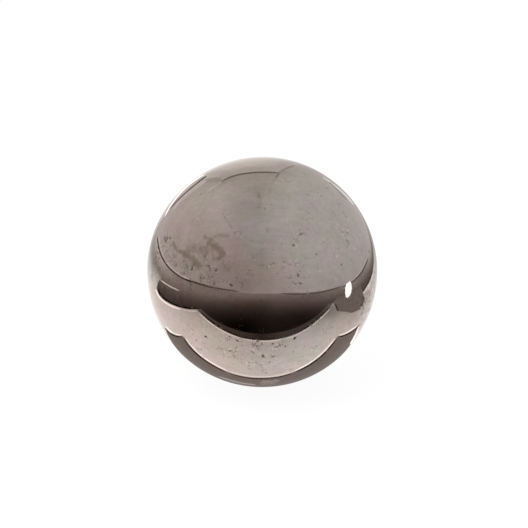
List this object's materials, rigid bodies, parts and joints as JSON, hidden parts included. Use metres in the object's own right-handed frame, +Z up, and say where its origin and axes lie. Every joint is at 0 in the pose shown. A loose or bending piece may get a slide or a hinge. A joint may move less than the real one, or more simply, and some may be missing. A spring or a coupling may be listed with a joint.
{
  "type": "steel ball",
  "caption": "Solid polished steel ball with a mirror finish gone slightly dull, marked by fine pits and faint tarnish; rests in a cup, ring or track.",
  "frame": {"origin": "centre of the ball", "axes": "+Z up through the ball's top, -Y towards the viewer on the pitted side, +X to the viewer's right"},
  "size_m": [0.0508, 0.0508, 0.0508],
  "materials": {
    "polished_steel": "polished"
  },
  "bodies": {
    "root": {"ball": "polished_steel"}
  },
  "joints": []
}
